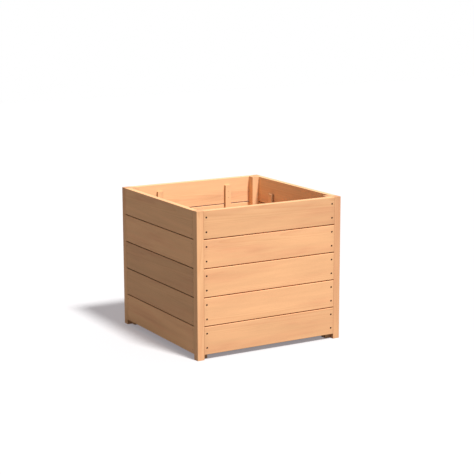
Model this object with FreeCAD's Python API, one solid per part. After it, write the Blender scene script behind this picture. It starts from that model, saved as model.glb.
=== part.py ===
import FreeCAD, Part
import os

# A square raised garden bed: four rebated corner posts, five rows of horizontal boards on each
# wall, upright battens inside, a slatted floor on two bearers, and the screws and nails.
#
# Millimetres. The origin is on the ground, at the centre of the footprint. +X runs along the
# front wall, +Y to the back wall and +Z up.

# ---------------------------------------------------------------- driving dimensions
OUTER_WIDTH = 864.0           # outer faces of the left and right walls
OUTER_DEPTH = 864.0           # outer faces of the front and back walls

BOARD_ROWS = 5                # boards on top of each other in every wall
BOARD_HEIGHT = 145.0
BOARD_THICKNESS = 28.0
BOARD_GAP = 5.0               # open joint between two rows
BOARD_EDGE_ROUND = 2.5        # radius on a board's four long edges
BOARD_END_CLEARANCE = 0.5     # between a board's end and the post's visible strip

POST_SIZE = 70.0              # square section before the rebates
POST_STRIP = 39.0             # width of post that stays visible beside the boards
POST_EDGE_ROUND = 2.5         # radius on the post's outer corner
FOOT_HEIGHT = 27.0            # the lowest boards stop this far above the ground

BATTEN_WIDTH = 35.0
BATTEN_THICKNESS = 15.0
BATTEN_FROM_CORNER = 216.0    # batten's middle to the wall's outer corner
BATTEN_BELOW_RIM = 38.0       # a front or back batten's top lies this far below the rim
SIDE_BATTEN_BELOW_RIM = 80.0  # the same for the battens of the side walls
BATTEN_EDGE_ROUND = 1.5

BEARER_SIZE = 45.0            # square section
BEARER_END_CLEARANCE = 1.0    # between a bearer's end and the corner post

SLAT_WIDTH = 95.0
SLAT_LEAST_GAP = 5.0          # the slats are spread evenly, at least this far apart
SLAT_THICKNESS = 28.0
SLAT_SIDE_CLEARANCE = 3.0     # outer slats to the side walls
SLAT_END_CLEARANCE = 2.0      # slat ends to the front and back walls, and notches to the posts
SLAT_EDGE_ROUND = 2.5

# Countersunk wood screws. Each is as long as the timber it passes and its bite in the next one.
WALL_SCREW_BITE = 32.0        # in the post, behind a front or back board
BEARER_SCREW_BITE = 15.0      # in the board behind the bearer
FLOOR_SCREW_BITE = 32.0       # in the bearer below the slat
SCREW_SHANK = 5.0             # diameter
SCREW_HEAD = 10.0             # diameter
SCREW_RIM = 0.6               # height of the head's straight rim
SCREW_TIP = 5.0               # length of the pointed end
SCREW_SINK = 1.2              # the head lies this far below the timber's face
CROSS_LENGTH = 5.2            # cross recess in the head
CROSS_WIDTH = 1.1
CROSS_DEPTH = 2.2

WALL_SCREW_SPACING = 75.0     # between the two screws of a front or back board's end
FLOOR_SCREW_SPACING = 56.0    # between the two screws of a slat on one bearer

# Lost-head nails that hold the side boards and the battens.
WALL_NAIL_BITE = 32.0         # in the post, behind a side board
BATTEN_NAIL_BITE = 15.0       # in the board behind the batten
NAIL_SHANK = 2.5              # diameter
NAIL_HEAD = 3.6               # diameter
NAIL_RIM = 0.8
NAIL_TIP = 3.0
NAIL_SINK = 0.3
WALL_NAIL_SPACING = 105.0     # between the two nails of a side board's end
BATTEN_NAIL_SPACING = 36.0    # between the two nails of a board behind a batten
BATTEN_NAIL_FROM_EDGE = 12.0  # no nail lies nearer to the board's edge or the batten's end

FASTENER_CLEARANCE = 0.15     # all round a screw or nail in its hole
TIP_RADIUS = 0.3              # a pointed end is this blunt
NO_DISTANCE = 1e-6            # closer than this counts as touching or in line

# ---------------------------------------------------------------- sizes that follow
ROW_PITCH = BOARD_HEIGHT + BOARD_GAP
RIM_HEIGHT = FOOT_HEIGHT + BOARD_ROWS * ROW_PITCH - BOARD_GAP
LAP_MIDDLE = (POST_STRIP + BOARD_END_CLEARANCE + POST_SIZE) / 2    # from the outer corner
BEARER_TOP = FOOT_HEIGHT + BEARER_SIZE
FLOOR_TOP = BEARER_TOP + SLAT_THICKNESS
BATTEN_TOP = RIM_HEIGHT - BATTEN_BELOW_RIM
SIDE_BATTEN_TOP = RIM_HEIGHT - SIDE_BATTEN_BELOW_RIM
WALL_SCREW_LENGTH = BOARD_THICKNESS + WALL_SCREW_BITE
BEARER_SCREW_LENGTH = BEARER_SIZE + BEARER_SCREW_BITE
FLOOR_SCREW_LENGTH = SLAT_THICKNESS + FLOOR_SCREW_BITE
WALL_NAIL_LENGTH = BOARD_THICKNESS + WALL_NAIL_BITE
BATTEN_NAIL_LENGTH = BATTEN_THICKNESS + BATTEN_NAIL_BITE

# Each wall is drawn as if it were the front one and then turned about the vertical axis. A row
# here holds its name, the turn in degrees, the wall's length, the distance of its outer face from
# the centre, the height of its battens' tops and the corner post at its left end. Left and right
# on a wall are as seen from outside, facing it.
WALLS = (
    ("front", 0, OUTER_WIDTH, OUTER_DEPTH / 2, BATTEN_TOP, "front_left"),
    ("right", 90, OUTER_DEPTH, OUTER_WIDTH / 2, SIDE_BATTEN_TOP, "front_right"),
    ("back", 180, OUTER_WIDTH, OUTER_DEPTH / 2, BATTEN_TOP, "back_right"),
    ("left", 270, OUTER_DEPTH, OUTER_WIDTH / 2, SIDE_BATTEN_TOP, "back_left"),
)

UP = FreeCAD.Vector(0, 0, 1)
DOWN = FreeCAD.Vector(0, 0, -1)
INWARD = FreeCAD.Vector(0, 1, 0)     # on a wall drawn as the front one
OUTWARD = FreeCAD.Vector(0, -1, 0)
CENTRE = FreeCAD.Vector(0, 0, 0)


# ---------------------------------------------------------------- helpers
def turned(shape, degrees):
    """Turn a wall's piece from the front to its own side of the bed."""
    return shape.rotated(CENTRE, UP, degrees)


def edges_along(shape, direction):
    """The straight edges that run along a direction."""
    def runs_along(edge):
        ends = edge.Vertexes
        run = ends[-1].Point - ends[0].Point
        return run.Length > 0 and run.normalize().cross(direction).Length < NO_DISTANCE
    return [edge for edge in shape.Edges if runs_along(edge)]


def bar(low, high, direction, rounding):
    """A squared timber between two corners, its edges along the direction rounded."""
    size = high - low
    timber = Part.makeBox(size.x, size.y, size.z, low)
    return timber.makeFillet(rounding, edges_along(timber, direction))


def turned_fastener(length, shank, head, rim, tip, growth=0.0, mouth=0.0):
    """A countersunk fastener that points down from its head at the origin.

    With growth it is the hole for that fastener, and mouth carries the hole out to the surface.
    """
    head_radius = head / 2 + growth
    shank_radius = shank / 2 + growth
    cone_end = rim + (head - shank) / 2
    outline = [
        FreeCAD.Vector(0, 0, mouth),
        FreeCAD.Vector(head_radius, 0, mouth),
        FreeCAD.Vector(head_radius, 0, -rim),
        FreeCAD.Vector(shank_radius, 0, -cone_end),
        FreeCAD.Vector(shank_radius, 0, tip - length),
        FreeCAD.Vector(TIP_RADIUS + growth, 0, -length - growth),
        FreeCAD.Vector(0, 0, -length - growth),
    ]
    face = Part.Face(Part.makePolygon(outline + outline[:1]))
    return face.revolve(CENTRE, UP, 360)


def screw(length):
    """A wood screw with a cross recess in its head."""
    body = turned_fastener(length, SCREW_SHANK, SCREW_HEAD, SCREW_RIM, SCREW_TIP)
    arms = []
    for across, along in ((CROSS_LENGTH, CROSS_WIDTH), (CROSS_WIDTH, CROSS_LENGTH)):
        corner = FreeCAD.Vector(-across / 2, -along / 2, -CROSS_DEPTH)
        arms.append(Part.makeBox(across, along, 2 * CROSS_DEPTH, corner))
    return body.cut(arms)


def screw_hole(length):
    return turned_fastener(length, SCREW_SHANK, SCREW_HEAD, SCREW_RIM, SCREW_TIP,
                           FASTENER_CLEARANCE, 2 * SCREW_SINK)


def nail(length):
    return turned_fastener(length, NAIL_SHANK, NAIL_HEAD, NAIL_RIM, NAIL_TIP)


def nail_hole(length):
    return turned_fastener(length, NAIL_SHANK, NAIL_HEAD, NAIL_RIM, NAIL_TIP,
                           FASTENER_CLEARANCE, 2 * NAIL_SINK)


def driven(shape, surface_point, direction, sink):
    """Place a fastener, or its hole, at a point of a timber's surface, driven along a direction."""
    placed = shape.copy()
    turn = FreeCAD.Rotation(DOWN, direction)
    placed.Placement = FreeCAD.Placement(surface_point + direction * sink, turn)
    return placed


def drilled(timber, holes):
    """Cut every hole that reaches into a timber."""
    reached = [hole for hole in holes if hole.BoundBox.intersect(timber.BoundBox)]
    return timber.cut(reached) if reached else timber


# ---------------------------------------------------------------- timbers
def board(length, outer_face, row):
    """One horizontal wall board, flush with the strips of the posts at its ends."""
    half = length / 2 - POST_STRIP - BOARD_END_CLEARANCE
    bottom = FOOT_HEIGHT + row * ROW_PITCH
    low = FreeCAD.Vector(-half, -outer_face, bottom)
    high = FreeCAD.Vector(half, BOARD_THICKNESS - outer_face, bottom + BOARD_HEIGHT)
    return bar(low, high, FreeCAD.Vector(1, 0, 0), BOARD_EDGE_ROUND)


def post(length, outer_face):
    """A corner post, rebated on both outer faces so that the boards of two walls lie flush."""
    section = (
        (0, 0),
        (POST_STRIP, 0),
        (POST_STRIP, BOARD_THICKNESS),
        (POST_SIZE, BOARD_THICKNESS),
        (POST_SIZE, POST_SIZE),
        (BOARD_THICKNESS, POST_SIZE),
        (BOARD_THICKNESS, POST_STRIP),
        (0, POST_STRIP),
    )
    outline = [FreeCAD.Vector(x - length / 2, y - outer_face, 0) for x, y in section]
    timber = Part.Face(Part.makePolygon(outline + outline[:1])).extrude(UP * RIM_HEIGHT)
    corner = Part.Vertex(outline[0])
    corner_edge = [edge for edge in edges_along(timber, UP)
                   if edge.distToShape(corner)[0] < NO_DISTANCE]
    return timber.makeFillet(POST_EDGE_ROUND, corner_edge)


def batten_middles(length):
    """Where the two battens of a wall stand along it."""
    offset = length / 2 - BATTEN_FROM_CORNER
    return (("left", -offset), ("right", offset))


def batten(middle, outer_face, top):
    """An upright that ties the boards of a wall together and stands on the floor."""
    inner_face = BOARD_THICKNESS - outer_face
    low = FreeCAD.Vector(middle - BATTEN_WIDTH / 2, inner_face, FLOOR_TOP)
    high = FreeCAD.Vector(middle + BATTEN_WIDTH / 2, inner_face + BATTEN_THICKNESS, top)
    return bar(low, high, UP, BATTEN_EDGE_ROUND)


def bearer(length, outer_face):
    """A square timber along the foot of the front or back wall, between the posts."""
    half = length / 2 - POST_SIZE - BEARER_END_CLEARANCE
    inner_face = BOARD_THICKNESS - outer_face
    low = FreeCAD.Vector(-half, inner_face, FOOT_HEIGHT)
    high = FreeCAD.Vector(half, inner_face + BEARER_SIZE, BEARER_TOP)
    return bar(low, high, FreeCAD.Vector(1, 0, 0), BATTEN_EDGE_ROUND)


def slat_middles():
    """As many floor slats as fit between the side walls, spread evenly."""
    floor_width = OUTER_WIDTH - 2 * (BOARD_THICKNESS + SLAT_SIDE_CLEARANCE)
    count = int((floor_width + SLAT_LEAST_GAP) / (SLAT_WIDTH + SLAT_LEAST_GAP))
    pitch = (floor_width - SLAT_WIDTH) / (count - 1)
    return [(index - (count - 1) / 2) * pitch for index in range(count)]


def slat(middle):
    """A floor slat from the front wall to the back wall, notched where it meets the posts."""
    reach = OUTER_DEPTH / 2 - BOARD_THICKNESS - SLAT_END_CLEARANCE
    low = FreeCAD.Vector(middle - SLAT_WIDTH / 2, -reach, BEARER_TOP)
    high = FreeCAD.Vector(middle + SLAT_WIDTH / 2, reach, FLOOR_TOP)
    timber = bar(low, high, INWARD, SLAT_EDGE_ROUND)
    notch = POST_SIZE + SLAT_END_CLEARANCE
    corners = []
    for x in (-OUTER_WIDTH / 2, OUTER_WIDTH / 2 - notch):
        for y in (-OUTER_DEPTH / 2, OUTER_DEPTH / 2 - notch):
            corners.append(Part.makeBox(notch, notch, RIM_HEIGHT, FreeCAD.Vector(x, y, 0)))
    return timber.cut(corners)


# ---------------------------------------------------------------- where the fasteners go
def row_middle(row):
    return FOOT_HEIGHT + row * ROW_PITCH + BOARD_HEIGHT / 2


def board_ends(length, outer_face, spacing):
    """Two places, one above the other, where each end of a wall's boards lies on a post."""
    reach = length / 2 - LAP_MIDDLE
    places = []
    for row in range(BOARD_ROWS):
        for x in (-reach, reach):
            for rise in (-spacing / 2, spacing / 2):
                point = FreeCAD.Vector(x, -outer_face, row_middle(row) + rise)
                places.append((point, INWARD))
    return places


def nail_heights(top):
    """Two nails for each board, about the middle of what it shares with a batten, or one there."""
    heights = []
    for row in range(BOARD_ROWS):
        low = max(row_middle(row) - BOARD_HEIGHT / 2, FLOOR_TOP)
        high = min(row_middle(row) + BOARD_HEIGHT / 2, top)
        room = high - low - 2 * BATTEN_NAIL_FROM_EDGE
        if room >= BATTEN_NAIL_SPACING:
            heights += [(low + high - BATTEN_NAIL_SPACING) / 2,
                        (low + high + BATTEN_NAIL_SPACING) / 2]
        elif room > 0:
            heights.append((low + high) / 2)
    return heights


def batten_nails(length, outer_face, top):
    """The nails through both battens of a wall."""
    face = BOARD_THICKNESS + BATTEN_THICKNESS - outer_face
    return [(FreeCAD.Vector(middle, face, height), OUTWARD)
            for _, middle in batten_middles(length) for height in nail_heights(top)]


def bearer_screws(outer_face):
    """One screw through the bearer under each slat but the two outer ones."""
    face = BOARD_THICKNESS + BEARER_SIZE - outer_face
    height = FOOT_HEIGHT + BEARER_SIZE / 2
    return [(FreeCAD.Vector(x, face, height), OUTWARD) for x in slat_middles()[1:-1]]


def floor_screws():
    """Two screws hold each slat on each bearer. An outer slat's narrow end has one."""
    bearer_middle = OUTER_DEPTH / 2 - BOARD_THICKNESS - BEARER_SIZE / 2
    middles = slat_middles()
    tongue_edge = OUTER_WIDTH / 2 - POST_SIZE - SLAT_END_CLEARANCE
    tongue_middle = (tongue_edge + middles[-1] - SLAT_WIDTH / 2) / 2
    across = [-tongue_middle, tongue_middle]
    for middle in middles[1:-1]:
        across += [middle - FLOOR_SCREW_SPACING / 2, middle + FLOOR_SCREW_SPACING / 2]
    return [(FreeCAD.Vector(x, y, FLOOR_TOP), DOWN)
            for x in across for y in (-bearer_middle, bearer_middle)]


# ---------------------------------------------------------------- assembly
def fasteners():
    """The groups of like fasteners and, apart from them, the holes that they need."""
    groups = {}
    holes = []

    def add(group, places, shape, hole, sink, degrees=0):
        for point, direction in places:
            placed = driven(shape, point, direction, sink)
            groups.setdefault(group, []).append(turned(placed, degrees))
            holes.append(turned(driven(hole, point, direction, sink), degrees))

    def add_screws(group, places, length, degrees=0):
        add(group, places, screw(length), screw_hole(length), SCREW_SINK, degrees)

    def add_nails(group, places, length, degrees=0):
        add(group, places, nail(length), nail_hole(length), NAIL_SINK, degrees)

    for name, degrees, length, outer_face, batten_top, _ in WALLS:
        if name in ("front", "back"):
            add_screws(name + "_wall_screws", board_ends(length, outer_face, WALL_SCREW_SPACING),
                       WALL_SCREW_LENGTH, degrees)
            add_screws("bearer_screws", bearer_screws(outer_face), BEARER_SCREW_LENGTH, degrees)
        else:
            add_nails(name + "_wall_nails", board_ends(length, outer_face, WALL_NAIL_SPACING),
                      WALL_NAIL_LENGTH, degrees)
        add_nails("batten_nails", batten_nails(length, outer_face, batten_top),
                  BATTEN_NAIL_LENGTH, degrees)
    add_screws("floor_screws", floor_screws(), FLOOR_SCREW_LENGTH)
    return groups, holes


def timbers():
    """Every piece of timber by name, before drilling."""
    pieces = {}
    for name, degrees, length, outer_face, batten_top, corner in WALLS:
        pieces["post_" + corner] = turned(post(length, outer_face), degrees)
        for row in range(BOARD_ROWS):
            pieces[f"{name}_board_{row + 1}"] = turned(board(length, outer_face, row), degrees)
        for side, middle in batten_middles(length):
            upright = batten(middle, outer_face, batten_top)
            pieces[f"{name}_batten_{side}"] = turned(upright, degrees)
        if name in ("front", "back"):
            pieces["floor_bearer_" + name] = turned(bearer(length, outer_face), degrees)
    for index, middle in enumerate(slat_middles()):
        pieces[f"floor_slat_{index + 1}"] = slat(middle)
    return pieces


def main():
    os.makedirs("parts", exist_ok=True)
    groups, holes = fasteners()
    for name, timber in timbers().items():
        drilled(timber, holes).exportStep(f"parts/{name}.step")
    for name, solids in groups.items():
        Part.makeCompound(solids).exportStep(f"parts/{name}.step")


main()
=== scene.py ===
import math
import random

import bmesh
import bpy
from bpy.props import FloatProperty, FloatVectorProperty, PointerProperty
from mathutils import Matrix, Vector


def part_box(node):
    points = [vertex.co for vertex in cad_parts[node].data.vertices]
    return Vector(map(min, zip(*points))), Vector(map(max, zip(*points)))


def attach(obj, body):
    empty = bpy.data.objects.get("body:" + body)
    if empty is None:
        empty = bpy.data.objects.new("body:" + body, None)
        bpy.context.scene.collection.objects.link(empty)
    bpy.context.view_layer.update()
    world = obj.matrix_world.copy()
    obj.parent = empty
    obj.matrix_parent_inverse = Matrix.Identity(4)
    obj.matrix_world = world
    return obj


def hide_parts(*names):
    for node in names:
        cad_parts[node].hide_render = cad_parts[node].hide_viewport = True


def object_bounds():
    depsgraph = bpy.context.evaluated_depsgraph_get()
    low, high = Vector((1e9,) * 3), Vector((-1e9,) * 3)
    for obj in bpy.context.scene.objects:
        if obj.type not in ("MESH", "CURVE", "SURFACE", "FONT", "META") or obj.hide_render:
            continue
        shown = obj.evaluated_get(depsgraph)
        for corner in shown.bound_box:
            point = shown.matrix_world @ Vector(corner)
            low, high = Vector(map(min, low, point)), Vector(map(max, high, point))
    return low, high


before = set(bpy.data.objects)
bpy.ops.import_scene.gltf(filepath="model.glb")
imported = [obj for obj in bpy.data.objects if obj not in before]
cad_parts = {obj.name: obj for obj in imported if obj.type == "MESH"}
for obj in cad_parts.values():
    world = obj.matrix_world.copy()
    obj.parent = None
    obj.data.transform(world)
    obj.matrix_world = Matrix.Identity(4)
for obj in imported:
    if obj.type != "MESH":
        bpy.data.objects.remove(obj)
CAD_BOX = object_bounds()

bl_info = {
    "name": "Raised garden bed",
    "version": (1, 0, 0),
    "blender": (4, 5, 0),
    "location": "View3D > Sidebar > Garden bed",
    "description": "Dresses a square timber garden bed: planed timbers, screws, nails and a stage",
    "category": "Add Mesh",
}

# The bed stands on the ground at the origin: +X along the front wall, +Y to the back, +Z up.
# Lengths are metres.
BODY = "root"
MM = 0.001
SHARPEST = 0.05 * MM        # an edge keeps at least this radius where a timber's end is eased
SAME_POINT = 0.001 * MM     # corners of the CAD mesh that lie closer are one corner
WALLS = ("front", "right", "back", "left")
SCREW_NODES = ("front_wall_screws", "back_wall_screws", "bearer_screws", "floor_screws")
NAIL_NODES = ("right_wall_nails", "left_wall_nails", "batten_nails")

# Brightness of some timbers beside the rest. The others vary by chance.
TONES = {
    "front_board_1": 0.92,
    "front_board_2": 1.0,
    "front_board_3": 1.0,
    "front_board_4": 1.0,
    "front_board_5": 0.92,
    "left_board_1": 1.05,
    "left_board_2": 0.87,
    "left_board_3": 0.84,
    "left_board_4": 1.02,
    "left_board_5": 0.97,
    "post_front_left": 0.98,
    "post_front_right": 0.93,
}
POST_PINK = 0.1             # how much pinker the posts are than the boards


def linear(red, green, blue):
    """A colour given as 0 to 255 per channel, in the linear values that shaders work with."""
    def channel(value):
        level = value / 255
        return level / 12.92 if level <= 0.04045 else ((level + 0.055) / 1.055) ** 2.4
    return channel(red), channel(green), channel(blue)


# ---------------------------------------------------------------- settings
def colour(name, description, value):
    """A property for a colour."""
    return FloatVectorProperty(name=name, description=description, subtype="COLOR", size=3,
                               min=0, max=1, default=value)


def length(name, description, value):
    """A property for a length."""
    return FloatProperty(name=name, description=description, unit="LENGTH", min=0,
                         precision=5, default=value)


def share(name, description, value):
    """A property for an amount from 0 to 1."""
    return FloatProperty(name=name, description=description, subtype="FACTOR", min=0, max=1,
                         default=value)


class TimberSettings(bpy.types.PropertyGroup):
    """Colours and grain of the planed timber."""
    early_colour: colour("Early wood", "Pale part of each growth ring", linear(252, 193, 142))
    late_colour: colour("Late wood", "Dark line that ends each growth ring", linear(226, 158, 108))
    flush_colour: colour("Pink flush", "Long soft streaks in the timber", linear(228, 158, 118))
    tone_spread: share("Tone spread", "How far one piece may differ from the next", 0.04)
    ring_width: length("Ring width", "From one growth ring to the next", 3.2 * MM)
    relief: length("Grain relief", "Height of the grain on a planed face", 0.06 * MM)
    roughness: share("Roughness", "Of a planed face", 0.62)
    # Dust and painted shade: the edge faces of flat timbers are darkened in the joints below the
    # rim, much more on the side walls than on the front and back.
    edge_dust_and_shade: share("Dust on edges", "Darkens the edges of flat timbers below the rim", 0.42)
    front_edge_dust_and_shade: share("Dust, front and back", "The same for the front and back boards", 0.08)
    # Painted shade: the faces inside the bed are tinted paler and less orange, as the shade in the
    # bed looks.
    inside_shade_tint: FloatVectorProperty(name="Bare tint", description="Inside, beside the oiled outside",
                                   size=3, min=0, max=2, default=(0.94, 1.07, 1.14))


class EdgeSettings(bpy.types.PropertyGroup):
    """How the timbers' edges and ends are eased."""
    board_edge: length("Board edge", "Radius along the boards and slats", 2.5 * MM)
    post_edge: length("Post edge", "Radius of a post's outer corner", 2.5 * MM)
    small_edge: length("Small edge", "Radius along battens and bearers", 1.5 * MM)
    arris: length("Arris", "Radius of a post's other edges", 0.8 * MM)
    end: length("Ends", "Radius at the sawn ends", 0.6 * MM)
    board_end_gap: length("Gap at board ends", "Between a board and the post's strip", 0.5 * MM)
    post_gap: length("Gap at posts", "Between a floor slat and a post", 2 * MM)


class FastenerSettings(bpy.types.PropertyGroup):
    """Screws and nails."""
    screw_colour: colour("Screws", "Brown coating of the screws", linear(46, 22, 8))
    nail_colour: colour("Nails", "Dull zinc of the nails", linear(105, 96, 88))
    clearance: length("Hole clearance", "All round a screw or nail", 0.15 * MM)
    recess_width: length("Cross recess", "Across the cross in a screw's head", 5.2 * MM)
    recess_slot: length("Recess slot", "Width of the cross's arms", 1.1 * MM)
    recess_depth: length("Recess depth", "Depth of the cross", 2.2 * MM)


class StageSettings(bpy.types.PropertyGroup):
    """Floor, light and camera."""
    sun_strength: FloatProperty(name="Sun", description="Strength of the sun", min=0, default=4.45)
    sun_spread: FloatProperty(name="Sun spread", description="Width of the sun: softer shadows",
                              subtype="ANGLE", min=0, default=math.radians(9.5))
    sky_light: share("Sky", "Brightness of the sky that lights the bed", 0.30)
    floor_colour: colour("Floor", "Colour of the floor as seen", (0.52, 0.52, 0.52))
    floor_glow: colour("Floor glow", "Lifts the floor's shadow as seen", (0.255, 0.234, 0.247))
    floor_bounce: colour("Floor bounce", "Colour of the light from the floor", (0.16, 0.16, 0.16))
    focal_length: FloatProperty(name="Focal length", description="Of the camera, in millimetres",
                                unit="CAMERA", min=1, default=101.97)


class BedSettings(bpy.types.PropertyGroup):
    """All settings of the garden bed."""
    timber: PointerProperty(type=TimberSettings)
    edges: PointerProperty(type=EdgeSettings)
    fasteners: PointerProperty(type=FastenerSettings)
    stage: PointerProperty(type=StageSettings)


# ---------------------------------------------------------------- shader building
MIX_COLOURS = (6, 7)        # the Mix node's inputs for colours, and its output for them
MIXED_COLOUR = 2
SEEN_RAYS = ("Is Camera Ray", "Is Glossy Ray", "Is Transmission Ray")


class Term:
    """A value in a shader. Python's operators on it add the Math nodes."""

    def __init__(self, shader, socket):
        self.shader = shader
        self.socket = socket

    def __add__(self, other):
        return self.shader.maths("ADD", self, other)

    def __radd__(self, other):
        return self.shader.maths("ADD", other, self)

    def __sub__(self, other):
        return self.shader.maths("SUBTRACT", self, other)

    def __rsub__(self, other):
        return self.shader.maths("SUBTRACT", other, self)

    def __mul__(self, other):
        return self.shader.maths("MULTIPLY", self, other)

    def __rmul__(self, other):
        return self.shader.maths("MULTIPLY", other, self)

    def __truediv__(self, other):
        return self.shader.maths("DIVIDE", self, other)

    def __pow__(self, other):
        return self.shader.maths("POWER", self, other)

    def __abs__(self):
        return self.shader.maths("ABSOLUTE", self)


class Shader:
    """Fills one node tree, of a material or of the world."""

    def __init__(self, owner):
        owner.use_nodes = True
        self.tree = owner.node_tree
        self.tree.nodes.clear()

    def node(self, kind, settings=None, sockets=None, output=0):
        """Add a node: first its settings, then the values or links of its sockets."""
        made = self.tree.nodes.new(kind)
        for name, value in (settings or {}).items():
            setattr(made, name, value)
        for name, value in (sockets or {}).items():
            if isinstance(value, Term):
                self.tree.links.new(value.socket, made.inputs[name])
            else:
                made.inputs[name].default_value = value
        return Term(self, made.outputs[output]) if made.outputs else made

    def maths(self, operation, *values):
        return self.node("ShaderNodeMath", {"operation": operation}, dict(enumerate(values)))

    def ramp(self, value, low, high):
        """0 below low, 1 above high and smooth between."""
        return self.node("ShaderNodeMapRange", {"interpolation_type": "SMOOTHSTEP"},
                         {"Value": value, "From Min": low, "From Max": high})

    def mixed(self, factor, first, second):
        """Two colours, mixed."""
        sockets = {0: factor, MIX_COLOURS[0]: first, MIX_COLOURS[1]: second}
        return self.node("ShaderNodeMix", {"data_type": "RGBA"}, sockets, output=MIXED_COLOUR)

    def tinted(self, tint, other):
        """Two colours, multiplied."""
        return self.node("ShaderNodeVectorMath", {"operation": "MULTIPLY"}, {0: tint, 1: other})

    def scaled(self, tint, factor):
        """A colour made brighter or darker."""
        return self.node("ShaderNodeVectorMath", {"operation": "SCALE"},
                         {0: tint, "Scale": factor})

    def point(self, x, y, z):
        """A place, from its three coordinates."""
        return self.node("ShaderNodeCombineXYZ", {}, {"X": x, "Y": y, "Z": z})

    def coordinate(self, place, axis):
        """One of a place's coordinates."""
        return self.node("ShaderNodeSeparateXYZ", {}, {"Vector": place}, output=axis)

    def noise(self, place, detail=2.0, roughness=0.5):
        """Soft noise about 0, mostly within -0.5 and 0.5."""
        return self.node("ShaderNodeTexNoise", {},
                         {"Vector": place, "Scale": 1.0, "Detail": detail,
                          "Roughness": roughness}) - 0.5

    def position(self):
        """The place on the surface: three terms in metres."""
        place = self.node("ShaderNodeTexCoord", output="Object")
        return [self.coordinate(place, axis) for axis in "XYZ"]

    def facing(self, axis):
        """How squarely the surface faces along an axis, 0 to 1."""
        normal = self.node("ShaderNodeNewGeometry", output="True Normal")
        return abs(self.coordinate(normal, axis))

    def bumped(self, height):
        """The way the surface faces, with a relief of some height in metres on it."""
        return self.node("ShaderNodeBump", {}, {"Distance": 1.0, "Height": height})

    def seen(self):
        """1 for what is looked at, also in a mirror or through glass, and 0 for what gives light."""
        camera, mirror, glass = (self.node("ShaderNodeLightPath", output=ray) for ray in SEEN_RAYS)
        return self.maths("MINIMUM", camera + mirror + glass, 1.0)

    def surface(self, sockets):
        """Finish a material with the standard surface shader."""
        look = self.node("ShaderNodeBsdfPrincipled", {}, sockets)
        self.node("ShaderNodeOutputMaterial", {}, {"Surface": look})


def opaque(tint):
    """A colour as a node's socket takes it, with its alpha."""
    return (*tint, 1.0)


# ---------------------------------------------------------------- materials
# Noises in the timber: waves per metre along it and across it, detail and roughness.
GRAIN = {
    "bend": (1.3, 9, 2, 0.5),       # slow bends of the growth rings
    "wander": (6, 70, 2, 0.5),      # the rings' small wobble
    "flush": (1.8, 14, 3, 0.5),     # broad pink streaks
    "cloud": (2.4, 26, 3, 0.6),     # soft patches, light and dark
    "streak": (3.5, 75, 4, 0.6),    # narrow streaks, light and dark
    "fibre": (14, 700, 3, 0.6),     # fine fibres
    "pore": (45, 900, 1, 0.5),      # short dark pores
}

# What each feature of the timber adds to its brightness, its relief and its roughness.
SHADES = {"cloud": 0.28, "streak": 0.16, "fibre": 0.08, "pores": -0.1, "end_grain": -0.18,
          "near_end": -0.05, "worn_edge": 0.05}
RELIEFS = {"late_wood": 0.6, "fibre": 0.5, "pores": -0.6}
ROUGHNESSES = {"late_wood": -0.08, "streak": 0.1, "end_grain": 0.15}

# How much of their colour the late wood, the fibres and the pink flush give to the timber.
LATE_COLOUR = 0.45
FIBRE_COLOUR = 0.15
FLUSH_COLOUR = 0.7
FLUSH_STREAKS = 0.5                 # how far the streaks break up the flush

# Where a timber lay in its log: from the log's foot, and beside and behind the heart.
UP_LOG = (3.0, 60.0)
HEART_ASIDE = 0.12
HEART_BEHIND = (0.05, 0.13)
HEART_LEAN_ASIDE = 0.02             # in metres per metre, at most
HEART_LEAN_BEHIND = 0.015

RING_BEND = 6 * MM                  # how far the noises move a growth ring
RING_WANDER = 1 * MM
RING_SPREAD = (0.8, 1.3)            # ring width, from one timber to the next
LATE_WOOD_RISE = 3.0                # the higher, the thinner the dark line of a ring
LATE_WOOD_END = (0.9, 1.0)          # share of the ring where the line ends

# Between which values a feature comes in.
FLUSH_RANGE = (-0.05, 0.4)
PORE_RANGE = (0.17, 0.3)
END_FACING = (0.6, 0.9)             # how squarely an end faces along the timber
EDGE_FACING = (0.7, 0.95)           # how squarely an edge faces across it
NEAR_END = (0.0, 30 * MM)           # from the end
WORN_EDGE = (-3 * MM, 0.0)          # from the edge
DUST_AND_SHADE_FROM_RIM = (6 * MM, 3 * MM)    # below the rim
INSIDE_SHADE_FROM = (2 * MM, 5 * MM)       # outwards of the walls' inner faces

RAGGED_END = 20 * MM                # how far the grain frays what lies near an end or an edge
RAGGED_EDGE = 1.5 * MM
FLAT_RATIO = 1.2                    # a flat timber is wider than this many thicknesses
TIMBER_SHINE = 0.12

METAL_PATCHES = 300                 # waves per metre
METAL_PATCH_SHADE = 0.3
SPECKLE_SHADE = 0.35
SPECKLE_ROUGHNESS = 0.2
SPECKLE_RELIEF = 0.03 * MM
METAL_SHINE = 0.25

# Half the room between opposite walls, along X and along Y.
INNER_FACE = Vector((-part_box("left_board_1")[1].x, -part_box("front_board_1")[1].y))


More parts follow.
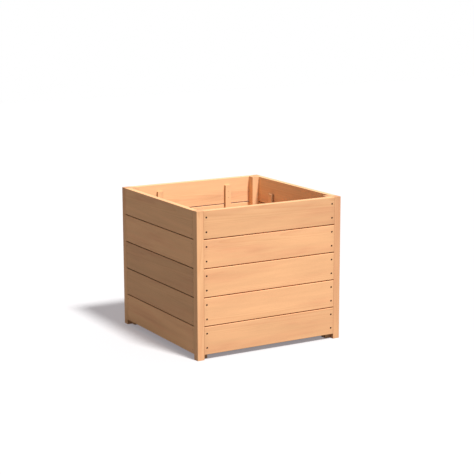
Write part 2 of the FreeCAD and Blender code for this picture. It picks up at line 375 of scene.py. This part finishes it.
class TimberGrain:
    """One timber's own directions and its place in a log, for the shader that draws its grain."""

    def __init__(self, shader, node, chance):
        low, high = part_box(node)
        size = high - low
        middle = (low + high) / 2
        order = sorted(range(3), key=lambda axis: -size[axis])
        self.shader = shader
        self.place = shader.position()
        self.along, self.across, self.through = (self.place[axis] - middle[axis] for axis in order)
        self.half_length, self.half_width, self.half_thickness = (size[axis] / 2 for axis in order)
        self.end_axis, self.edge_axis = "XYZ"[order[0]], "XYZ"[order[1]]
        self.up_log = chance.uniform(*UP_LOG)
        self.log_along = self.along + self.up_log

    def noise(self, name):
        """One of the noises in the timber, drawn out along it."""
        waves_along, waves_across, detail, roughness = GRAIN[name]
        point = self.shader.point(self.log_along * waves_along, self.across * waves_across,
                                  self.through * waves_across)
        return self.shader.noise(point, detail, roughness)

    def late_wood(self, ring_width, chance):
        """The dark line that ends each growth ring, 0 to 1.

        The log's heart runs beside the timber, a little aslant, so the rings make long arches.
        """
        heart_across = (chance.uniform(-HEART_ASIDE, HEART_ASIDE)
                        + self.along * chance.uniform(-HEART_LEAN_ASIDE, HEART_LEAN_ASIDE))
        heart_depth = chance.choice((-1, 1)) * chance.uniform(*HEART_BEHIND)
        heart_through = (heart_depth
                         + self.along * chance.uniform(-HEART_LEAN_BEHIND, HEART_LEAN_BEHIND))
        radius = ((self.across - heart_across) ** 2.0
                  + (self.through - heart_through) ** 2.0) ** 0.5
        radius = radius + self.noise("bend") * RING_BEND + self.noise("wander") * RING_WANDER
        ring_width = ring_width * chance.uniform(*RING_SPREAD)
        ring = self.shader.maths("FRACT", radius / ring_width + self.up_log)
        return ring ** LATE_WOOD_RISE * (1 - self.shader.ramp(ring, *LATE_WOOD_END))

    def features(self, ring_width, chance):
        """Everything that shows in the timber, by name: noises about 0, and masks from 0 to 1."""
        shader = self.shader
        found = {name: self.noise(name) for name in ("flush", "cloud", "streak", "fibre")}
        found["late_wood"] = self.late_wood(ring_width, chance)
        found["pores"] = shader.ramp(self.noise("pore"), *PORE_RANGE)
        found["end_grain"] = shader.ramp(shader.facing(self.end_axis), *END_FACING)
        from_end = self.half_length - abs(self.along) + found["streak"] * RAGGED_END
        found["near_end"] = 1 - shader.ramp(from_end, *NEAR_END)
        from_edge = shader.maths("MINIMUM", abs(self.across) - self.half_width,
                                 abs(self.through) - self.half_thickness)
        found["worn_edge"] = shader.ramp(from_edge + found["fibre"] * RAGGED_EDGE, *WORN_EDGE)
        return found

    def edge_dust_and_shade(self, amount):
        """Dust and painted shade on the timber's edges, darker in the joints, but not at the bed's
        rim.
        """
        rim = CAD_BOX[1].z
        on_edge = self.shader.ramp(self.shader.facing(self.edge_axis), *EDGE_FACING)
        at_rim = self.shader.ramp(self.place[2], *(rim - depth for depth in DUST_AND_SHADE_FROM_RIM))
        return on_edge * (1 - at_rim) * amount

    def outside(self):
        """1 outside the bed and in the joints, 0 on the faces inside."""
        x, y, _ = self.place
        outwards = self.shader.maths("MAXIMUM", abs(x) - INNER_FACE.x, abs(y) - INNER_FACE.y)
        return self.shader.ramp(outwards, *INSIDE_SHADE_FROM)


def weighed(features, weights):
    """The sum of some features, each times its weight."""
    return sum(features[name] * weight for name, weight in weights.items())


def timber_colour(grain, features, look, pink):
    """The timber's base colour: rings, pink flush, and a paler, less orange painted shade tint on
    the faces inside the bed.
    """
    shader = grain.shader
    late = features["late_wood"] * LATE_COLOUR + features["fibre"] * FIBRE_COLOUR
    wood = shader.mixed(late, opaque(look.early_colour), opaque(look.late_colour))
    flush = shader.ramp(features["flush"] + features["streak"] * FLUSH_STREAKS + pink,
                        *FLUSH_RANGE)
    wood = shader.mixed(flush * FLUSH_COLOUR, wood, opaque(look.flush_colour))
    # Painted shade: faces inside the bed, but not the end grain, take the paler, less orange inside
    # tint.
    unshaded = shader.maths("MAXIMUM", grain.outside(), features["end_grain"])
    return shader.tinted(wood, shader.mixed(unshaded, opaque(look.inside_shade_tint), opaque((1, 1, 1))))


def tone_of(node):
    """How bright a timber is beside the rest."""
    spread = bpy.context.scene.garden_bed.timber.tone_spread
    return TONES.get(node, 1 + random.Random("tone " + node).uniform(-spread, spread))


def timber_material(node, pink=0.0):
    """Planed softwood cut from its own place in a log, its grain along the piece."""
    look = bpy.context.scene.garden_bed.timber
    chance = random.Random(node)
    material = bpy.data.materials.new("planed_timber_" + node)
    shader = Shader(material)
    grain = TimberGrain(shader, node, chance)
    features = grain.features(look.ring_width, chance)

    shade = tone_of(node)
    for name, amount in SHADES.items():
        shade = shade * (1 + features[name] * amount)
    # Dust and painted shade in the joints: faint on the front and back boards, strong on the side
    # walls' boards, the battens and the slats.
    if node.startswith(("front_board", "back_board")):
        shade = shade * (1 - grain.edge_dust_and_shade(look.front_edge_dust_and_shade))
    elif grain.half_width > FLAT_RATIO * grain.half_thickness:
        shade = shade * (1 - grain.edge_dust_and_shade(look.edge_dust_and_shade))

    height = weighed(features, RELIEFS) + features["end_grain"] * features["fibre"]
    shader.surface({
        "Base Color": shader.scaled(timber_colour(grain, features, look, pink), shade),
        "Roughness": look.roughness + weighed(features, ROUGHNESSES),
        "Specular IOR Level": TIMBER_SHINE,
        "Normal": shader.bumped(height * look.relief),
    })
    return material


def metal_material(name, tint, metallic, roughness, speckles):
    """A coated or dull metal with fine speckles, and larger patches that are lighter or darker."""
    material = bpy.data.materials.new(name)
    shader = Shader(material)
    place = shader.position()
    speckle = shader.noise(shader.point(*(part * speckles for part in place)), detail=4,
                           roughness=0.6)
    patches = shader.noise(shader.point(*(part * METAL_PATCHES for part in place)))
    shade = 1 + speckle * SPECKLE_SHADE + patches * METAL_PATCH_SHADE
    shader.surface({
        "Base Color": shader.scaled(tint, shade),
        "Metallic": metallic,
        "Roughness": roughness + speckle * SPECKLE_ROUGHNESS,
        "Specular IOR Level": METAL_SHINE,
        "Normal": shader.bumped(speckle * SPECKLE_RELIEF),
    })
    return material


# ---------------------------------------------------------------- mesh building
TIMBER_SHARP = 40           # edges of more degrees stay sharp


def rounded_outline(corners, radii, steps=4):
    """A closed outline of right-angled corners, each rounded by its own radius."""
    outline = []
    for index, corner in enumerate(corners):
        radius = radii[index]
        if radius == 0:
            outline.append(corner)
            continue
        before = (corners[index - 1] - corner).normalized() * radius
        after = (corners[(index + 1) % len(corners)] - corner).normalized() * radius
        for step in range(steps + 1):
            angle = math.pi / 2 * step / steps
            reach = before * (1 - math.sin(angle)) + after * (1 - math.cos(angle))
            outline.append(corner + reach)
    return outline


def inset(outline, depth):
    """A counter-clockwise outline moved inwards."""
    moved = []
    for index, point in enumerate(outline):
        before = (point - outline[index - 1]).normalized()
        after = (outline[(index + 1) % len(outline)] - point).normalized()
        inwards = Vector((-before.y - after.y, before.x + after.x)).normalized()
        lean = inwards.dot(Vector((-after.y, after.x)))
        moved.append(point + inwards * (depth / lean))
    return moved


def timber_mesh(corners, radii, low, high, softness, axis, steps=3):
    """A timber of one section along an axis from low to high, its two ends eased.

    The section's corners go counter-clockwise, each with the radius of its long edge.
    """
    levels = []
    for step in range(steps + 1):
        angle = math.pi / 2 * step / steps
        levels.append((softness * (1 - math.cos(angle)), softness * (1 - math.sin(angle))))
    rings = [(low + rise, depth) for rise, depth in levels]
    rings += [(high - rise, depth) for rise, depth in reversed(levels)]
    mesh = bmesh.new()
    made = []
    for level, depth in rings:
        left = [max(radius - depth, SHARPEST) if radius else 0 for radius in radii]
        made.append([mesh.verts.new(laid(axis, point.x, point.y, level))
                     for point in rounded_outline(inset(corners, depth), left)])
    for lower, upper in zip(made, made[1:]):
        for index in range(len(lower)):
            mesh.faces.new((lower[index - 1], lower[index], upper[index], upper[index - 1]))
    mesh.faces.new(reversed(made[0]))
    mesh.faces.new(made[-1])
    return mesh


def laid(axis, x, y, z):
    """A point of a section and its level along the timber, in the bed's frame."""
    return {"X": Vector((z, x, y)), "Y": Vector((y, z, x)), "Z": Vector((x, y, z))}[axis]


def section(point, axis):
    """The two coordinates of a point across a timber, and the one along it."""
    x, y, z = point
    return {"X": (y, z, x), "Y": (z, x, y), "Z": (x, y, z)}[axis]


def lathe(profile, sides=24):
    """A round solid about the Z axis, from (radius, height) pairs between two middle points."""
    mesh = bmesh.new()
    rings = []
    for radius, height in profile[1:-1]:
        rings.append([mesh.verts.new((radius * math.cos(math.tau * side / sides),
                                      radius * math.sin(math.tau * side / sides), height))
                      for side in range(sides)])
    for upper, lower in zip(rings, rings[1:]):
        for side in range(sides):
            mesh.faces.new((upper[side - 1], lower[side - 1], lower[side], upper[side]))
    for ring, height in ((rings[0], profile[0][1]), (rings[-1], profile[-1][1])):
        middle = mesh.verts.new((0, 0, height))
        for side in range(sides):
            pair = (ring[side - 1], ring[side])
            mesh.faces.new((middle, *(pair if ring is rings[0] else reversed(pair))))
    return mesh


def finished_mesh(mesh, name):
    """Turn a mesh in the making into mesh data."""
    bmesh.ops.recalc_face_normals(mesh, faces=mesh.faces)
    data = bpy.data.meshes.new(name)
    mesh.to_mesh(data)
    mesh.free()
    return data


def joined(pairs, name):
    """One mesh of many, from pairs of mesh data and the matrix that puts it in place."""
    mesh = bmesh.new()
    for data, place in pairs:
        start = len(mesh.verts)
        mesh.from_mesh(data)
        mesh.verts.ensure_lookup_table()
        bmesh.ops.transform(mesh, matrix=place, verts=mesh.verts[start:])
    return finished_mesh(mesh, name)


def cut(data, tool):
    """Mesh data with a second mesh cut out of it."""
    timber = bpy.data.objects.new("cut", data)
    cutter = bpy.data.objects.new("cutter", tool)
    for made in (timber, cutter):
        bpy.context.scene.collection.objects.link(made)
    modifier = timber.modifiers.new("Cut", "BOOLEAN")
    modifier.operation = "DIFFERENCE"
    modifier.solver = "EXACT"
    modifier.object = cutter
    shape = timber.evaluated_get(bpy.context.evaluated_depsgraph_get())
    result = bpy.data.meshes.new_from_object(shape)
    for made in (timber, cutter):
        bpy.data.objects.remove(made)
    return result


def stand_in(node, data, material, sharp=TIMBER_SHARP):
    """Put a finished piece in a CAD node's place."""
    data.materials.clear()
    data.materials.append(material)
    data.shade_smooth()
    data.set_sharp_from_angle(angle=math.radians(sharp))
    piece = bpy.data.objects.new("dressed_" + node, data)
    bpy.context.scene.collection.objects.link(piece)
    shading = piece.modifiers.new("Even shading", "WEIGHTED_NORMAL")
    shading.keep_sharp = True
    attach(piece, BODY)
    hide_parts(node)


# ---------------------------------------------------------------- screws and nails
class Fastener:
    """One screw or nail as the CAD has it: its box, length, head and direction."""

    def __init__(self, points):
        low = Vector(min(point[axis] for point in points) for axis in range(3))
        high = Vector(max(point[axis] for point in points) for axis in range(3))
        axis = max(range(3), key=lambda index: (high - low)[index])
        middle = (low + high) / 2
        self.low, self.high = low, high
        self.length = (high - low)[axis]
        self.radius = (high - low)[axis - 1] / 2

        # The head is at the wider end.
        def width(level):
            return max((point - middle)[axis - 1] for point in points
                       if abs(point[axis] - level) < self.radius)
        self.direction = Vector((0, 0, 0))
        self.direction[axis] = 1 if width(low[axis]) > width(high[axis]) else -1
        self.head = middle - self.direction * self.length / 2

    def place(self, spin=0.0):
        """The matrix that puts a fastener drawn pointing down from the origin here."""
        turn = Vector((0, 0, -1)).rotation_difference(self.direction)
        matrix = Matrix.Translation(self.head) @ turn.to_matrix().to_4x4()
        return matrix @ Matrix.Rotation(spin, 4, "Z")

    def reaches(self, low, high):
        """Whether it lies in part in the box between two corners."""
        return all(self.low[axis] < high[axis] and low[axis] < self.high[axis]
                   for axis in range(3))


def fasteners_of(node):
    """The separate screws or nails in one CAD node."""
    mesh = bmesh.new()
    mesh.from_mesh(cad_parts[node].data)
    bmesh.ops.remove_doubles(mesh, verts=mesh.verts, dist=SAME_POINT)
    waiting = set(mesh.verts)
    found = []
    while waiting:
        front = [waiting.pop()]
        points = []
        while front:
            vertex = front.pop()
            points.append(vertex.co.copy())
            for edge in vertex.link_edges:
                other = edge.other_vert(vertex)
                if other in waiting:
                    waiting.remove(other)
                    front.append(other)
        found.append(Fastener(points))
    mesh.free()
    return sorted(found, key=lambda one: tuple(one.head))


FASTENERS = {node: fasteners_of(node) for node in SCREW_NODES + NAIL_NODES}

# Radius of the shank, height of the head's straight rim and length of the point.
SCREW_SHANK, SCREW_RIM, SCREW_POINT = 2.5 * MM, 0.6 * MM, 5 * MM
NAIL_SHANK, NAIL_RIM, NAIL_POINT = 1.25 * MM, 0.8 * MM, 3 * MM
BLUNT_TIP = 0.3 * MM

# The dished top of a head, from its middle out: share of the head's radius, and depth.
SCREW_TOP = ((0, 0.25 * MM), (0.55, 0.2 * MM), (0.86, 0.05 * MM), (0.95, 0), (1, 0.15 * MM))
NAIL_TOP = ((0, 0.4 * MM), (0.3, 0.3 * MM), (0.5, 0.05 * MM), (0.85, 0), (1, 0.2 * MM))
NAIL_SIDES = 16

HOLE_MOUTH = 3 * MM         # how far a hole's cutter stands out of the head's place
HOLE_RIM = 0.6 * MM         # depth of the hole's straight part, round the head
RECESS_ABOVE = 0.5 * MM     # how far the recess's cutter stands out of the head
RECESS_TAPER = 0.6          # width of the recess's bottom beside its top
FASTENER_SHARP = 35         # edges of more degrees stay sharp


def hole_mesh(fastener, shank, clearance):
    """The countersunk hole of a screw or nail, carried out past the surface."""
    head = fastener.radius + clearance
    bore = shank + clearance
    return finished_mesh(lathe([
        (0, HOLE_MOUTH), (head, HOLE_MOUTH), (head, -HOLE_RIM), (bore, -HOLE_RIM - (head - bore)),
        (bore, -fastener.length), (0, -fastener.length)]), "hole")


def recess_mesh(look):
    """The cross recess of a screw's head, narrower towards its bottom."""
    mesh = bmesh.new()
    rings = []
    for level, taper in ((RECESS_ABOVE, 1.0), (-look.recess_depth, RECESS_TAPER)):
        reach, half = look.recess_width / 2 * taper, look.recess_slot / 2 * taper
        corners = [Vector((reach, -half)), Vector((reach, half)), Vector((half, half))]
        ring = [Matrix.Rotation(math.pi / 2 * quarter, 2) @ corner
                for quarter in range(4) for corner in corners]
        rings.append([mesh.verts.new((*point, level)) for point in ring])
    upper, lower = rings
    for index in range(len(upper)):
        mesh.faces.new((upper[index - 1], lower[index - 1], lower[index], upper[index]))
    mesh.faces.new(upper)
    mesh.faces.new(reversed(lower))
    return finished_mesh(mesh, "recess")


def fastener_outline(fastener, top, shank, rim, point):
    """Half the outline of a screw or nail, from the middle of its head to its point."""
    radius, tip = fastener.radius, -fastener.length
    dish = [(radius * part, -depth) for part, depth in top]
    return dish + [(radius, -rim), (shank, -rim - (radius - shank)), (shank, tip + point),
                   (BLUNT_TIP, tip), (0, tip)]


def screw_mesh(fastener, look):
    """A countersunk wood screw with a slightly dished head and a tapered cross recess."""
    outline = fastener_outline(fastener, SCREW_TOP, SCREW_SHANK, SCREW_RIM, SCREW_POINT)
    return cut(finished_mesh(lathe(outline), "screw"), recess_mesh(look))


def nail_mesh(fastener):
    """A lost-head nail with a small dimple in its head."""
    outline = fastener_outline(fastener, NAIL_TOP, NAIL_SHANK, NAIL_RIM, NAIL_POINT)
    return finished_mesh(lathe(outline, NAIL_SIDES), "nail")


def drilled(data, node):
    """A timber's mesh with the holes of every screw and nail that reaches into it."""
    clearance = bpy.context.scene.garden_bed.fasteners.clearance
    low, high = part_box(node)
    holes = []
    for name, group in FASTENERS.items():
        reached = [one for one in group if one.reaches(low, high)]
        if reached:
            shank = SCREW_SHANK if name in SCREW_NODES else NAIL_SHANK
            hole = hole_mesh(reached[0], shank, clearance)
            holes += [(hole, one.place()) for one in reached]
    return cut(data, joined(holes, "holes")) if holes else data


# ---------------------------------------------------------------- timbers
def bar(node, axis, radius, softness):
    """A squared timber with eased edges."""
    low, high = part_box(node)
    left, bottom, start = section(low, axis)
    right, top, end = section(high, axis)
    corners = [Vector((left, bottom)), Vector((right, bottom)), Vector((right, top)),
               Vector((left, top))]
    mesh = timber_mesh(corners, [radius] * 4, start, end, softness, axis)
    data = drilled(finished_mesh(mesh, node), node)
    stand_in(node, data, timber_material(node))


def post(node, edges):
    """A corner post, rebated on both outer faces for the boards."""
    low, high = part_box(node)
    board_low, board_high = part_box("front_board_1")
    outer = CAD_BOX[1]
    strip = outer.x - board_high.x - edges.board_end_gap
    rebate = board_high.y - board_low.y
    size = high.x - low.x
    section_points = ((0, 0), (strip, 0), (strip, rebate), (size, rebate), (size, size),
                      (rebate, size), (rebate, strip), (0, strip))
    radii = [edges.post_edge, edges.arris, 0, 0, edges.arris, 0, 0, edges.arris]
    side_x = 1 if low.x > 0 else -1
    side_y = 1 if low.y > 0 else -1
    corners = [Vector((side_x * (outer.x - x), side_y * (outer.y - y)))
               for x, y in section_points]
    if side_x != side_y:
        corners.reverse()
        radii.reverse()
    mesh = timber_mesh(corners, radii, low.z, high.z, edges.end, "Z")
    data = drilled(finished_mesh(mesh, node), node)
    stand_in(node, data, timber_material(node, POST_PINK))


def slat_outline(low, high, gap):
    """A floor slat in plan, its corners cut away where they would meet a post."""
    posts = [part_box(node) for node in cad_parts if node.startswith("post_")]
    outline = []
    corners = ((low.x, low.y), (high.x, low.y), (high.x, high.y), (low.x, high.y))
    for index, (x, y) in enumerate(corners):
        inner = [(post_high.x + gap if x < 0 else post_low.x - gap,
                  post_high.y + gap if y < 0 else post_low.y - gap)
                 for post_low, post_high in posts
                 if post_low.x - gap < x < post_high.x + gap
                 and post_low.y - gap < y < post_high.y + gap]
        if not inner:
            outline.append(Vector((x, y)))
            continue
        inner_x, inner_y = inner[0]
        notch = [Vector((x, inner_y)), Vector((inner_x, inner_y)), Vector((inner_x, y))]
        outline += notch if index % 2 == 0 else reversed(notch)
    return outline


def slat(node, edges):
    """A floor slat, notched where it meets the posts."""
    low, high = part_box(node)
    corners = slat_outline(low, high, edges.post_gap)
    radii = [edges.arris] * len(corners)
    mesh = timber_mesh(corners, radii, low.z, high.z, edges.board_edge, "Z")
    data = drilled(finished_mesh(mesh, node), node)
    stand_in(node, data, timber_material(node))


# ---------------------------------------------------------------- operators
class CornerPosts(bpy.types.Operator):
    """Make the four rebated corner posts"""
    bl_idname = "garden_bed.corner_posts"
    bl_label = "Corner posts"

    def execute(self, context):
        for node in sorted(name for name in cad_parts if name.startswith("post_")):
            post(node, context.scene.garden_bed.edges)
        return {"FINISHED"}


class WallBoards(bpy.types.Operator):
    """Make the horizontal boards of the four walls"""
    bl_idname = "garden_bed.wall_boards"
    bl_label = "Wall boards"

    def execute(self, context):
        edges = context.scene.garden_bed.edges
        for wall in WALLS:
            axis = "X" if wall in ("front", "back") else "Y"
            nodes = sorted(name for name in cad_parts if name.startswith(wall + "_board_"))
            for node in nodes:
                bar(node, axis, edges.board_edge, edges.end)
        return {"FINISHED"}


class WallBattens(bpy.types.Operator):
    """Make the upright battens inside the walls"""
    bl_idname = "garden_bed.wall_battens"
    bl_label = "Wall battens"

    def execute(self, context):
        edges = context.scene.garden_bed.edges
        for node in sorted(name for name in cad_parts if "_batten_" in name):
            bar(node, "Z", edges.small_edge, edges.end)
        return {"FINISHED"}


class FloorTimbers(bpy.types.Operator):
    """Make the floor's two bearers and its slats"""
    bl_idname = "garden_bed.floor_timbers"
    bl_label = "Floor bearers and slats"

    def execute(self, context):
        edges = context.scene.garden_bed.edges
        for node in sorted(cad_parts):
            if node.startswith("floor_bearer_"):
                bar(node, "X", edges.small_edge, edges.end)
            elif node.startswith("floor_slat_"):
                slat(node, edges)
        return {"FINISHED"}


class Screws(bpy.types.Operator):
    """Make the countersunk screws of the walls and the floor"""
    bl_idname = "garden_bed.screws"
    bl_label = "Screws"

    def execute(self, context):
        look = context.scene.garden_bed.fasteners
        chance = random.Random("screws")
        material = metal_material("brown_coated_steel", look.screw_colour, metallic=0.0,
                                  roughness=0.55, speckles=4000)
        for node in SCREW_NODES:
            screw = screw_mesh(FASTENERS[node][0], look)
            pairs = [(screw, one.place(chance.uniform(0, math.pi / 2))) for one in FASTENERS[node]]
            stand_in(node, joined(pairs, node), material, FASTENER_SHARP)
        return {"FINISHED"}


class Nails(bpy.types.Operator):
    """Make the lost-head nails of the side walls and the battens"""
    bl_idname = "garden_bed.nails"
    bl_label = "Nails"

    def execute(self, context):
        look = context.scene.garden_bed.fasteners
        material = metal_material("dull_zinc", look.nail_colour, metallic=0.5,
                                  roughness=0.55, speckles=3000)
        for node in NAIL_NODES:
            nail = nail_mesh(FASTENERS[node][0])
            pairs = [(nail, one.place()) for one in FASTENERS[node]]
            stand_in(node, joined(pairs, node), material, FASTENER_SHARP)
        return {"FINISHED"}


WHITE = (1, 1, 1, 1)
FLOOR_REACH = 12                        # from its middle to its sides
SUN_PLACE = (0, 0, 3)
SUN_RAYS = (-0.125, 0.6, -1)            # the way that the light falls
CAMERA_PLACE = (-3.5314, -6.2003, 1.9870)
CAMERA_AZIMUTH = math.radians(-30)      # round the bed, from in front of it
CAMERA_ELEVATION = math.radians(11.6)
CAMERA_ROLL = math.radians(-0.13)
SENSOR_WIDTH = 36                       # millimetres


class Stage(bpy.types.Operator):
    """Make the floor, the light and the camera"""
    bl_idname = "garden_bed.stage"
    bl_label = "Floor, light and camera"

    def execute(self, context):
        settings = context.scene.garden_bed.stage
        self.floor(settings)
        self.sky(context.scene, settings)
        self.sun(settings)
        self.camera(context.scene, settings)
        context.scene.view_settings.view_transform = "Standard"
        return {"FINISHED"}

    def floor(self, settings):
        """A pale floor that shows the bed's shadow and throws back little light."""
        mesh = bmesh.new()
        bmesh.ops.create_grid(mesh, x_segments=8, y_segments=8, size=FLOOR_REACH)
        data = finished_mesh(mesh, "floor")
        material = bpy.data.materials.new("pale_floor")
        shader = Shader(material)
        lit = shader.node("ShaderNodeBsdfDiffuse", {}, {"Color": opaque(settings.floor_colour)})
        glow = shader.node("ShaderNodeEmission", {}, {"Color": opaque(settings.floor_glow)})
        shown = shader.node("ShaderNodeAddShader", {}, {0: lit, 1: glow})
        bounce = shader.node("ShaderNodeBsdfDiffuse", {},
                             {"Color": opaque(settings.floor_bounce)})
        look = shader.node("ShaderNodeMixShader", {}, {0: shader.seen(), 1: bounce, 2: shown})
        shader.node("ShaderNodeOutputMaterial", {}, {"Surface": look})
        data.materials.append(material)
        floor = bpy.data.objects.new("floor", data)
        bpy.context.scene.collection.objects.link(floor)

    def sky(self, scene, settings):
        """A sky that looks white and lights the bed softly."""
        scene.world = bpy.data.worlds.new("plain_sky")
        shader = Shader(scene.world)
        shown = shader.node("ShaderNodeBackground", {}, {"Color": WHITE, "Strength": 1.0})
        light = shader.node("ShaderNodeBackground", {},
                            {"Color": WHITE, "Strength": settings.sky_light})
        look = shader.node("ShaderNodeMixShader", {}, {0: shader.seen(), 1: light, 2: shown})
        shader.node("ShaderNodeOutputWorld", {}, {"Surface": look})

    def sun(self, settings):
        """A high sun in front of the bed, a little to its right."""
        lamp = bpy.data.lights.new("sun", "SUN")
        lamp.energy = settings.sun_strength
        lamp.angle = settings.sun_spread
        sun = bpy.data.objects.new("sun", lamp)
        sun.rotation_mode = "QUATERNION"
        sun.rotation_quaternion = Vector(SUN_RAYS).to_track_quat("-Z", "Y")
        sun.location = SUN_PLACE
        bpy.context.scene.collection.objects.link(sun)

    def camera(self, scene, settings):
        """The camera of the photograph."""
        lens = bpy.data.cameras.new("camera")
        lens.lens = settings.focal_length
        lens.sensor_width = SENSOR_WIDTH
        camera = bpy.data.objects.new("camera", lens)
        back = Vector((math.sin(CAMERA_AZIMUTH) * math.cos(CAMERA_ELEVATION),
                       -math.cos(CAMERA_AZIMUTH) * math.cos(CAMERA_ELEVATION),
                       math.sin(CAMERA_ELEVATION)))
        level = Vector((math.cos(CAMERA_AZIMUTH), math.sin(CAMERA_AZIMUTH), 0))
        rise = back.cross(level)
        right = level * math.cos(CAMERA_ROLL) + rise * math.sin(CAMERA_ROLL)
        up = rise * math.cos(CAMERA_ROLL) - level * math.sin(CAMERA_ROLL)
        turn = Matrix((right, up, back)).transposed().to_4x4()
        camera.matrix_world = Matrix.Translation(CAMERA_PLACE) @ turn
        scene.collection.objects.link(camera)
        scene.camera = camera


class BedPanel(bpy.types.Panel):
    """Sizes, colours and steps of the garden bed"""
    bl_idname = "VIEW3D_PT_garden_bed"
    bl_label = "Garden bed"
    bl_space_type = "VIEW_3D"
    bl_region_type = "UI"
    bl_category = "Garden bed"

    def draw(self, context):
        settings = context.scene.garden_bed
        for group in (settings.timber, settings.edges, settings.fasteners, settings.stage):
            box = self.layout.box()
            for name in group.__annotations__:
                box.prop(group, name)
        for operator in OPERATORS:
            self.layout.operator(operator.bl_idname)


OPERATORS = (CornerPosts, WallBoards, WallBattens, FloorTimbers, Screws, Nails, Stage)
CLASSES = (TimberSettings, EdgeSettings, FastenerSettings, StageSettings, BedSettings,
           *OPERATORS, BedPanel)


def register():
    for one in CLASSES:
        bpy.utils.register_class(one)
    bpy.types.Scene.garden_bed = PointerProperty(type=BedSettings)


def unregister():
    del bpy.types.Scene.garden_bed
    for one in reversed(CLASSES):
        bpy.utils.unregister_class(one)


def main():
    register()
    bpy.ops.garden_bed.corner_posts()
    bpy.ops.garden_bed.wall_boards()
    bpy.ops.garden_bed.wall_battens()
    bpy.ops.garden_bed.floor_timbers()
    bpy.ops.garden_bed.screws()
    bpy.ops.garden_bed.nails()
    bpy.ops.garden_bed.stage()


if __name__ == "__main__":
    main()
